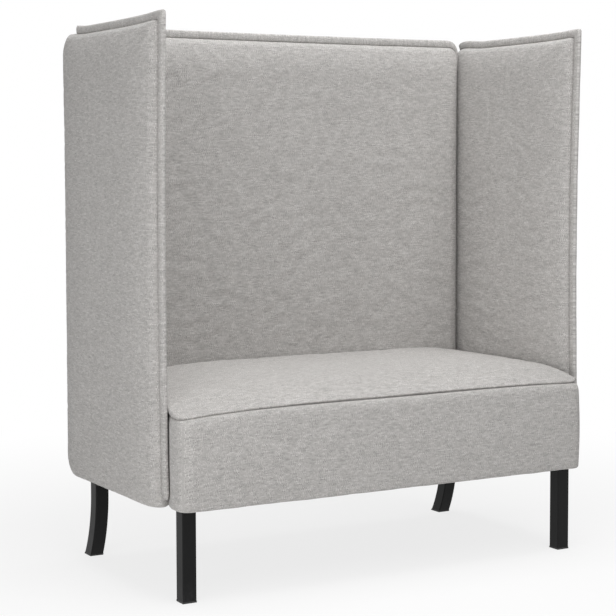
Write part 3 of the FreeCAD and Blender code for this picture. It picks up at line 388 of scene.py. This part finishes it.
def settled(points, faces, held):
    """A cover after it has come to rest as cloth, cut slightly full and pushed out by its foam. Held
    says how firmly each point is kept in place, from 1 at a seam to little in the middle. No point
    moves further than the most that a firm, tight cover gives."""
    steps, push, most = 20, 2.0, 2.5
    scene = bpy.context.scene
    mesh = bpy.data.meshes.new("cover_at_rest")
    mesh.from_pydata((points / 1000).tolist(), [], faces.tolist())
    cover = bpy.data.objects.new("cover_at_rest", mesh)
    scene.collection.objects.link(cover)
    group = cover.vertex_groups.new(name="held")
    for index, firm in enumerate(held):
        group.add([index], float(firm), "REPLACE")
    cloth = cover.modifiers.new("cloth", "CLOTH")
    cloth.settings.quality = 5
    cloth.settings.vertex_group_mass = "held"
    cloth.settings.pin_stiffness = 1.0
    cloth.settings.shrink_min = -0.003
    cloth.settings.bending_stiffness = 3.0
    cloth.settings.use_pressure = True
    cloth.settings.uniform_pressure_force = push
    cloth.settings.effector_weights.gravity = 0
    cloth.collision_settings.use_collision = False
    for step in range(1, steps + 1):
        scene.frame_set(step)
    rest = cover.evaluated_get(bpy.context.evaluated_depsgraph_get()).to_mesh()
    found = np.empty(len(points) * 3)
    rest.vertices.foreach_get("co", found)
    bpy.data.objects.remove(cover)
    bpy.data.meshes.remove(mesh)
    scene.frame_set(1)
    moved = found.reshape(-1, 3) * 1000 - points
    far = np.maximum(np.linalg.norm(moved, axis=1, keepdims=True), 0.001)
    return points + moved * most * np.tanh(far / most) / far


seat_across, seat_deep = 120, 60
seat_half, seat_front, seat_back = 533.5, -312.0, 214.0
seam_level, seam_depth, crown_rise = 428, 5, 48
side_seam_inset, front_seam_inset = 8, 20
cover_give = 0.75


def seat_outline(inset, full=0.0):
    """The seat's outline seen from above, drawn in by an inset, and the way out at each point. Ahead
    of the side panels nothing holds the seat in, so its front corners swell out there. Full says how
    far the left side also fills the hollow beside the panel's flange."""
    front_corner, rear_corner = max(30 - 0.4 * inset, 4), 14
    corners = [front_corner, front_corner, rear_corner, rear_corner]
    points, outs = sewn_outline(-seat_half + inset, seat_half - inset, seat_front + inset,
                                seat_back - inset, corners, seat_across, seat_deep)
    x, y = points.T
    left = np.interp(y, (-285, -252, -248, -245, -240, -235, -225, -215, -200, -180, -165, -130, -90),
                     (30, 30.5, 29, 27.2, 26, 25.4, 22, 15.5, 9, 5, 3, 0.8, 0))
    left += full * np.interp(y, (-290, -270, -245, -225, -215, -200, -180, -165, -130, -90, -40),
                             (0, 1.5, 3, 7, 8.5, 5.5, 5.5, 5.2, 3.2, 1, 0))
    right = np.interp(y, (-285, -235, -215, -190, -150), (2.5, 2.4, 2, 1, 0))
    reach = np.clip((np.abs(x) - 330) / 200, 0, 1)
    points[:, 0] += reach ** 2 * (3 - 2 * reach) * np.where(x < 0, -left, right)
    return points, outs


def seam_height(x, y):
    """Height of the seam of top cover and boxing. In front it arches up between the corners."""
    ahead = np.clip((-150 - y) / 150, 0, 1)
    dip = np.where(x < 0, 14.5, 8) * np.abs(x / 545) ** 4.4
    return seam_level + ahead * (5 + 3 * np.clip(x / 530, 0, 1) - dip)


def crown_height(x, y):
    """Height of the crowned top. It is held lower along the sides, on the left over a wider strip."""
    roll_start, roll_depth = seat_front + 14, 210
    front = np.clip((y - roll_start) / roll_depth, 0, 1)
    rise = 1 - (1 - front) ** 3
    left = 0.5 + 0.5 * np.sin(np.pi / 2 * np.clip((x + seat_half) / 330, 0, 1))
    right = 0.6 + 0.4 * np.sin(np.pi / 2 * np.clip((seat_half - x) / 180, 0, 1))
    rear = 0.95 + 0.05 * np.sin(np.pi / 2 * np.clip((seat_back - y) / 120, 0, 1))
    return seam_height(x, y) + crown_rise * rise * left * right * rear


def lay_threads(rings, outs):
    """Where the threads of a soft sheet lie: straight over its cap, and beyond it as much further out
    as the sheet is longer than it looks from above."""
    more = [np.zeros(len(outs))]
    for ring, inner in zip(rings[-2::-1], rings[:0:-1]):
        step = ring - inner
        more.append(more[-1] + np.linalg.norm(step, axis=1) - np.linalg.norm(step[:, :2], axis=1))
    return np.vstack([ring[:, :2] + outs * far[:, None] for ring, far in zip(rings, reversed(more))])


_, seat_outs = seat_outline(0)
ahead = np.clip(-seat_outs[:, 1], 0, 1)
seam_inset = side_seam_inset + (front_seam_inset - side_seam_inset) * ahead
# Rings of the top cover from its seam inwards. In front: the way in from the seam and the share of
# the crown's height. At the sides: the way in from the outline, the share of the height, and the fill.
top_rings = ((0, 0.0, 8, 0.0, 0), (-3.5, 0.09, 5.6, 0.09, 0.4), (-5.2, 0.33, 4.2, 0.3, 0.8),
             (-6, 0.72, 3.4, 0.55, 1), (-5.6, 1.0, 3.2, 0.75, 1), (-4.4, 1.0, 4, 0.89, 1),
             (-2.4, 1.0, 5.8, 0.96, 1), (1, 1.0, 9, 1.0, 0.9), (6, 1.0, 14.5, 1.0, 0.75),
             (14, 1.0, 26, 1.0, 0.5), (28, 1.0, 47, 1.0, 0.2), (46, 1.0, 66, 1.0, 0))
rings = []
for inward, front_rise, beside_inset, side_rise, full in top_rings:
    beside, _ = seat_outline(beside_inset, full)
    ahead_of, _ = seat_outline(front_seam_inset + inward, full)
    flat = beside + (ahead_of - beside) * ahead[:, None]
    risen = side_rise + (front_rise - side_rise) * ahead
    x, y = flat.T
    seam = seam_height(x, y) - seam_depth
    rings.append(np.column_stack([flat, seam + (crown_height(x, y) - seam) * risen]))
top_points, top_faces = crowned(rings, seat_across, seat_deep, lambda x, y, z: crown_height(x, y))
top_threads = np.vstack([lay_threads(rings, seat_outs), top_points[len(rings) * len(seat_outs):, :2]])
seam_band, seam_hold, hold_band = 12, 432, 16
free = np.minimum(1, np.maximum(0, (top_points[:, 2] - (seam_level - 2)) / seam_band))
top_points[:, 2] += free * (0.9 * uneven(top_points, 120, 5.1) + 0.35 * uneven(top_points, 35, 9.4))
held = 1 - cover_give * np.clip((top_points[:, 2] - seam_hold) / hold_band, 0, 1)
top_points = settled(top_points, top_faces, held)
seam_line = rings[0]
around = len(seam_line)
cushion_inset, cushion_foot = 7, 332
foot_line = seam_line.copy()
foot_line[:, :2] -= cushion_inset * seat_outs
foot_line[:, 2] = cushion_foot
total = len(top_points)
edge = np.arange(around)
walls = np.stack([edge, total + edge, total + np.roll(edge, -1), np.roll(edge, -1)], 1)
threads = np.vstack([top_threads, top_threads[:around]])
seat_cushion = soft_piece("seat_cushion", np.vstack([top_points, foot_line]),
                          top_faces.tolist() + walls.tolist() + [list(range(total, total + around))],
                          np.column_stack([threads, np.zeros(len(threads))]), cover_cloth,
                          "cover_fabric", [*range(around), *range(total, total + around)])
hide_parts("seat_top_cover", "seat_foam")


# The boxing goes round the seat from the seam down to the frame. It is drawn over padding on the
# front rail, turned under and stapled there, which leaves its lower edge a little wavy.
face_line, _ = seat_outline(0)
along = np.append(0, np.cumsum(np.linalg.norm(np.diff(face_line, axis=0), axis=1)))
wave = uneven(np.column_stack([along, 0 * along, 0 * along]), 60, 12.7)
puff = uneven(np.column_stack([along, 0 * along + 400, 0 * along]), 170, 15.2)
# The boxing's shoulder from the seam: the way out and the height. Its hem, which turns under: the way
# in and the height above the floor.
shoulder = ((0, 0), (5, -0.6), (9, -1.2), (11.5, -2.4), (14, -5), (16.2, -9), (18, -14.5), (19.3, -22),
            (20, -33))
hem = ((0.7, 216.8), (2.4, 214.5), (6, 213.3), (14, 213.0), (40, 213.0), (39, 214.6), (13, 216.5))
boxing_foot, boxing_inside, inside_top, boxing_thick, wavy_within = 219.5, 13, 330.0, 1.5, 10
rows = []
roll = seam_inset / front_seam_inset
for outward, lift in shoulder:
    flat = face_line - seat_outs * (seam_inset - outward * roll)[:, None]
    rows.append(np.column_stack([flat, seam_line[:, 2] + lift]))
upper = rows[-1][:, 2]
for share in np.linspace(0.06, 1, 17):
    belly = (3.4 + 0.9 * puff) * math.sin(math.pi * share) * ahead
    rows.append(np.column_stack([face_line + seat_outs * belly[:, None],
                                 upper + (boxing_foot - upper) * share]))
for inset, height in hem:
    flat = face_line - seat_outs * (inset + 0.7 * wave * (inset < wavy_within))[:, None]
    rows.append(np.column_stack([flat, np.full(around, height) + 0.8 * wave * (inset < wavy_within)]))
rows.append(np.column_stack([face_line - seat_outs * boxing_inside, np.full(around, inside_top)]))
rows.append(np.column_stack([face_line - seat_outs * (seam_inset + boxing_thick)[:, None],
                             seam_line[:, 2] - seam_depth]))
down = [np.zeros(around)]
for upper_row, lower_row in zip(rows, rows[1:]):
    down.append(down[-1] + np.linalg.norm(upper_row - lower_row, axis=1))
faces = []
for row in range(len(rows)):
    a, b = row * around + edge, (row + 1) % len(rows) * around + edge
    faces += np.stack([a, b, np.roll(b, -1), np.roll(a, -1)], 1).tolist()
threads = np.column_stack([np.tile(along, len(rows)), np.concatenate(down),
                           np.zeros(len(rows) * around)])
seat_band = soft_piece("seat_boxing_band", np.vstack(rows), faces, threads, cover_cloth,
                       "cover_fabric", range(around))
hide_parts("seat_boxing", "seat_front_padding")


# A black non-woven dust cover closes the underside of the seat. It is stapled along its edge and
# sags a few millimetres in the middle.
lining, tree, shader = finish("black_nonwoven")
here = node(tree, "TexCoord", {}).outputs["Object"]
dots = node(tree, "TexVoronoi", {"Vector": here, "Scale": 420.0}).outputs["Distance"]
tree.links.new(grade(tree, sums(tree, "ADD", sums(tree, "MULTIPLY", dots, 0.7), sums(
    tree, "MULTIPLY", grain(tree, here, 30, 4), 0.4)), (0.2, (0.008, 0.008, 0.008)),
    (0.8, (0.022, 0.022, 0.022))), shader.inputs["Base Color"])
tree.links.new(spread(tree, dots, 0.7, 0.95), shader.inputs["Roughness"])
relief(tree, shader, dots, 0.0002)
dust_low, dust_high = (corner * 1000 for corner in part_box("dust_cover"))
dust_sag = 3.0


def sag(x, y):
    """How far the dust cover hangs below the level of its stapled edge, as a height."""
    return -dust_sag * np.cos(np.pi * x / (dust_high.x - dust_low.x)) * np.sin(
        np.pi * (y - dust_low.y) / (dust_high.y - dust_low.y))


dust_sheet = soft_piece(
    "dust_sheet", *flat_sheet(dust_low.x, dust_high.x, dust_low.y, dust_high.y, 80, 36,
                              lambda x, y: dust_low.z + sag(x, y),
                              lambda x, y: dust_high.z + sag(x, y)), lining, "dust_cloth")
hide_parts("dust_cover")


# Each panel is built on a softwood frame of two stiles and three rails, with a hard fibreboard
# glued and stapled over each side.
board, tree, shader = finish("hard_fibreboard")
here = node(tree, "TexCoord", {}).outputs["Object"]
chips = grain(tree, here, 180, 6, 0.7)
tree.links.new(grade(tree, chips, (0.3, (0.13, 0.075, 0.038)), (0.7, (0.25, 0.16, 0.09))),
               shader.inputs["Base Color"])
tree.links.new(spread(tree, chips, 0.45, 0.7), shader.inputs["Roughness"])
relief(tree, shader, chips, 0.0002)
for panel, rail_wood in (("left", wood_back), ("right", wood_back), ("back", wood_across)):
    stiles = ("left_stile", "right_stile") if panel == "back" else ("front_stile", "rear_stile")
    coated(wood_up, *(f"{panel}_panel_{stile}" for stile in stiles))
    coated(rail_wood, *(f"{panel}_panel_{rail}_rail" for rail in ("bottom", "mid", "top")))
    coated(board, f"{panel}_panel_boards")


# A foam pad under the cover lies on each side of a panel. The two covers are sewn together round
# the edge, so each pad swells from that seam in a soft roll and is nearly flat in the middle.
side_middle, back_middle, pad_half = 567.5, 248, 33.5


def left_panel(points, way):
    """Stands the left panel up from its measures in depth, height and thickness. Way is 1 for the
    face towards the seat and -1 for the other."""
    return np.column_stack([-side_middle + way * points[:, 2], points[:, 0], points[:, 1]])


def right_panel(points, way):
    """Stands the right panel up in the same way."""
    return np.column_stack([side_middle - way * points[:, 2], points[:, 0], points[:, 1]])


def back_panel(points, way):
    """Stands the back up from its measures in width, height and thickness."""
    return np.column_stack([points[:, 0], back_middle - way * points[:, 2], points[:, 1]])


def straight(t):
    """A side of a panel that isn't drawn in."""
    return 0 * t


def bowed(depth):
    """A side of a panel that is drawn in by a depth in the middle."""
    return lambda t: depth * (1 - (2 * t - 1) ** 2)


def top_pull(t):
    """The top of a side panel, which is drawn in from near its rear corner up to its front corner."""
    return 5 * (1 - t ** 6) * np.sin(math.pi / 2 * np.minimum(1, t / 0.2)) ** 2


side_shape = {"limits": (-228, 301, 213, 1280), "pulls": (straight, bowed(4), top_pull, bowed(12)),
              "rolls": (120, 90, 140), "across": 56, "up": 110}
panels = {"left": {**side_shape, "stand": left_panel, "corners": (10, 42, 35, 10)},
          "right": {**side_shape, "stand": right_panel, "corners": (10, 42, 58, 10)},
          "back": {"limits": (-530, 530, 213, 1280), "pulls": (straight, bowed(2), bowed(2), bowed(2)),
                   "rolls": (36, 90, 36), "across": 104, "up": 110, "stand": back_panel,
                   "corners": (10, 10, 21, 21)}}


def panel_pad(panel, face, way, seed):
    """One pad of a panel, which rolls wider at its sides and top than at its foot. An inner pad is
    pressed flat up to the height of the seat's top, and less and less above it."""
    shape = panels[panel]
    left, right, low, high = shape["limits"]
    rolls, across, up = shape["rolls"], shape["across"], shape["up"]
    count, foot_roll, thickness = 18, 24, 12.0
    rings, backs = [], []
    for step in range(count + 1):
        rise = 1 - math.cos(math.pi / 2 * step / count)
        height = pad_half * (1 - 0.5 * max(0, 1 - 4.4 * rise) ** 4 - 0.5 * (1 - rise) ** 2.2)
        bulge = 2 * math.sin(math.pi * min(1, height / 18))
        inset = [roll * rise - bulge * min(1, roll / 90) for roll in rolls]
        ease = 1 - step / (count + 3)
        rounds = [corner + 0.6 * rise * min(rolls) for corner in shape["corners"]]
        points, outs = sewn_outline(left + inset[2], right - inset[0], low + foot_roll * rise ** 2,
                                    high - inset[1], rounds, across, up, shape["pulls"], ease)
        rings.append(np.column_stack([points, np.full(len(points), height)]))
        if step in (6, 12, count):
            backs.append(np.column_stack([points, np.full(len(points), max(height - thickness, 0.4))]))
    points, faces = crowned(rings, across, up, lambda u, v, n: n)
    laid = np.vstack([lay_threads(rings, outs), points[len(rings) * len(outs):, :2]])
    lumps = 1.0 * uneven(points, 170, seed) + 0.3 * uneven(points, 45, seed + 3)
    points[:, 2] += points[:, 2] / pad_half * lumps
    held = 1 - cover_give * np.minimum(1, points[:, 2] / 26)
    points = settled(points, faces, held)
    if face == "inner":
        seat_top = 420
        beside_seat = pad_half - 0.3 + 0.05 * np.maximum(0, points[:, 1] - seat_top)
        points[:, 2] = np.minimum(points[:, 2], beside_seat)
    band, total = len(outs), len(points)
    edge = np.arange(band)
    chain = [edge] + [total + row * band + edge for row in range(len(backs))]
    walls = [np.stack([a, b, np.roll(b, -1), np.roll(a, -1)], 1) for a, b in zip(chain, chain[1:])]
    faces = faces.tolist() + np.vstack(walls).tolist() + [chain[-1].tolist()]
    laid = np.vstack([laid, *(back[:, :2] for back in backs)])
    name = f"{panel}_panel_{face}"
    piece = soft_piece(name + "_pad", shape["stand"](np.vstack([points, *backs]), way), faces,
                       np.column_stack([laid, np.zeros(len(laid))]), cover_cloth, "cover_fabric",
                       range(band))
    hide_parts(name + "_cover", name + "_foam")
    return points


inner_faces = {}
for seed, panel in enumerate(panels):
    inner_faces[panel] = panel_pad(panel, "inner", 1, 2.3 + 13 * seed)
    panel_pad(panel, "outer", -1, 8.9 + 13 * seed)


# A flange stands out along the sewn edge of each panel: both covers run on past the seam over a
# soft filling, and are closed along the outside. It is pinched at the seam and round at its nose.
flange_width, flange_foot = 20.0, 223
flange_section = [(-12.0, 1.2), (-3.0, 1.0), (0.0, 1.0), (0.7, 3.4), (1.7, 5.2), (3.6, 6.2),
                  (8.0, 6.5), (12.0, 6.5), (15.6, 5.8), (18.0, 4.4), (19.4, 2.5)]


def flange(panel, root, nose, filled, seed):
    """A flange between its sewn line and its outer edge, both given point by point, with how well it
    is filled at each."""
    loop = [*flange_section, (flange_width, 0.0),
            *((reach, -half) for reach, half in reversed(flange_section))]
    run = np.append(0, np.cumsum(np.linalg.norm(np.diff(nose, axis=0), axis=1)))
    line = np.column_stack([run, 0 * run, 0 * run])
    lean = 0.8 * uneven(line, 130, seed)
    puff = filled * (1 + 0.08 * uneven(line, 45, seed + 4))
    end_round = 6
    near = np.clip(np.minimum(run, run[-1] - run) / end_round, 0, 1)
    close = np.sqrt(np.clip(1 - (1 - near) ** 2, 0.03, 1))
    points, laid = [], []
    for reach, half in loop:
        flat = root + (nose - root) * (reach / flange_width)
        points.append(np.column_stack([flat, half * puff * close + lean * max(reach, 0) / flange_width]))
        laid.append(np.column_stack([np.full(len(run), reach + 0.6 * half), run, 0 * run]))
    count = len(run)
    at = np.arange(count * len(loop)).reshape(len(loop), count)
    nearby = np.roll(at, -1, 0)
    faces = np.stack([at[:, :-1], nearby[:, :-1], nearby[:, 1:], at[:, 1:]], -1).reshape(-1, 4).tolist()
    faces += [at[:, 0].tolist(), at[:, -1].tolist()]
    stood = panels[panel]["stand"](np.vstack(points), 1)
    piece = soft_piece(f"{panel}_panel_flange_strip", stood, faces, np.vstack(laid), cover_cloth,
                       "cover_fabric")
    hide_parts(f"{panel}_panel_flange")


def sewn_edge(panel, sides_left_out):
    """A panel's sewn line, from its end back, and the way out from it at each point. Sides are left
    out from the foot round."""
    shape = panels[panel]
    points, outs = sewn_outline(*shape["limits"], shape["corners"], shape["across"], shape["up"],
                                shape["pulls"])
    first = sum((shape["across"], shape["up"])[:sides_left_out])
    return points[first:][::-1], outs[first:][::-1]


upper_corner, corner_round = np.array((-244, 1296)), 4
for panel, tail, seed in (("left", 252, 41.0), ("right", 277, 47.5)):
    root, out = sewn_edge(panel, 2)
    nose = root + flange_width * out
    tip = (out[:, 0] < -0.01) & (out[:, 1] > 0.01)
    nose[tip] = upper_corner + corner_round * out[tip]
    used = (root[:, 1] > flange_foot) & (root[:, 0] < tail)
    flange(panel, root[used], nose[used], 1, seed)


def side_face(panel, heights):
    """How far out the inner face of a side panel is at the middle of the back, at some heights."""
    spread_out = 120
    deep, up, swell = inner_faces[panel].T
    near = [np.exp(-((deep - back_middle) ** 2 + (up - height) ** 2) / spread_out) for height in heights]
    return side_middle - np.array([(share * swell).sum() / share.sum() for share in near])


beside_gap, beside_most = 0.3, 12
root, out = sewn_edge("back", 1)
reach = np.where(root[:, 0] < 0, side_face("left", root[:, 1]), side_face("right", root[:, 1]))
beside = np.minimum(reach - np.abs(root[:, 0]) - beside_gap, beside_most)
nose = root + out * (beside * out[:, 0] ** 2 + flange_width * out[:, 1] ** 2)[:, None]
filled = np.interp(root[:, 1], (1170, 1250), (0.75, 1.0))
used = root[:, 1] > flange_foot
flange("back", root[used], nose[used], filled[used], 53.2)


# Bolts, washers, spacer tubes and tee nuts hold the panels to the seat frame, steel pins line up
# the back with the sides, and wood screws hold the legs. All are zinc plated steel.
coated(bright_steel, "panel_bolts", "bolt_washers", "bolt_spacers", "tee_nuts", "corner_pins",
       "leg_screws")


# The sofa stands on a plain white studio floor that runs out to white all round it.
def seen_directly(tree):
    """1 for rays from the camera, also by way of a shiny or clear surface, and 0 for the light that
    falls on things."""
    rays = node(tree, "LightPath", {}).outputs
    return sums(tree, "MAXIMUM", rays["Is Camera Ray"], sums(
        tree, "MAXIMUM", rays["Is Glossy Ray"], rays["Is Transmission Ray"]))


floor_paint, tree, shader = finish("white_studio_floor")
here = node(tree, "TexCoord", {}).outputs["Object"]
flat_place = node(tree, "VectorMath", {0: here, 1: (1.0, 1.0, 0.0)}, operation="MULTIPLY").outputs[0]
away = node(tree, "VectorMath", {0: flat_place}, operation="LENGTH").outputs["Value"]
clear = node(tree, "MapRange", {"Value": away, "From Min": 0.7, "From Max": 2.2, "To Min": 0.8,
                                "To Max": 1.0}, interpolation_type="SMOOTHSTEP").outputs[0]
shader.inputs["Base Color"].default_value = (0.86, 0.86, 0.86, 1)
shader.inputs["Roughness"].default_value = 0.9
shader.inputs["Specular IOR Level"].default_value = 0.1
seen = seen_directly(tree)
white = node(tree, "Emission", {"Color": (1, 1, 1, 1), "Strength": 1.0}).outputs[0]
mixed = node(tree, "MixShader", {"Fac": sums(tree, "MULTIPLY", seen, clear), 1: shader.outputs[0],
                                 2: white}).outputs[0]
tree.links.new(mixed, tree.nodes["Material Output"].inputs["Surface"])
mesh = bpy.data.meshes.new("studio_floor")
floor_half = 9
mesh.from_pydata([(-floor_half, -floor_half, 0), (floor_half, -floor_half, 0),
                  (floor_half, floor_half, 0), (-floor_half, floor_half, 0)], [], [(0, 1, 2, 3)])
mesh.materials.append(floor_paint)
floor = bpy.data.objects.new("studio_floor", mesh)
bpy.context.scene.collection.objects.link(floor)


# The light is a dim white room with large soft lamps: two above, which light the seat, one high in
# front on the left, and a weak one at the left for the outer side.
world = bpy.data.worlds.new("white_room")
bpy.context.scene.world = world
world.use_nodes = True
tree = world.node_tree
room_light, room_seen = 0.125, 1.0
ground = tree.nodes["Background"]
tree.links.new(spread(tree, seen_directly(tree), room_light, room_seen), ground.inputs["Strength"])
ground.inputs["Color"].default_value = (1, 1, 1, 1)
for name, spot, aim, size, power in (("lamp_overhead", (0, -0.3, 4.0), (0, 0, 0.4), 3.0, 84),
                                     ("lamp_above_front", (0, -2.2, 3.8), (0, 0, 0.6), 3.0, 74),
                                     ("lamp_front_left", (-3.0, -3.0, 1.8), (0, 0, 0.6), 1.6, 27),
                                     ("lamp_left", (-3.2, -1.4, 0.55), (0, 0, 0.5), 1.0, 23.5)):
    lamp = bpy.data.lights.new(name, "AREA")
    lamp.shape, lamp.size, lamp.energy = "SQUARE", size, power
    hung = bpy.data.objects.new(name, lamp)
    hung.location = spot
    hung.rotation_euler = (Vector(aim) - Vector(spot)).to_track_quat("-Z", "Y").to_euler()
    bpy.context.scene.collection.objects.link(hung)


# The camera stands at chest height, ahead and to the left of the sofa.
lens = bpy.data.cameras.new("camera")
sensor, focal_pixels, picture_pixels = 36, 1687.9, 616
lens.lens, lens.sensor_width, lens.shift_y = sensor * focal_pixels / picture_pixels, sensor, -0.05
camera = bpy.data.objects.new("camera", lens)
viewpoint, turn, down_tilt, roll_angle = (-2.11571, -3.56915, 0.97126), -29.804, 3.896, -0.127
camera.matrix_world = (Matrix.Translation(viewpoint)
                       @ Matrix.Rotation(math.radians(turn), 4, "Z")
                       @ Matrix.Rotation(math.radians(90 - down_tilt), 4, "X")
                       @ Matrix.Rotation(math.radians(roll_angle), 4, "Z"))
bpy.context.scene.collection.objects.link(camera)
bpy.context.scene.camera = camera
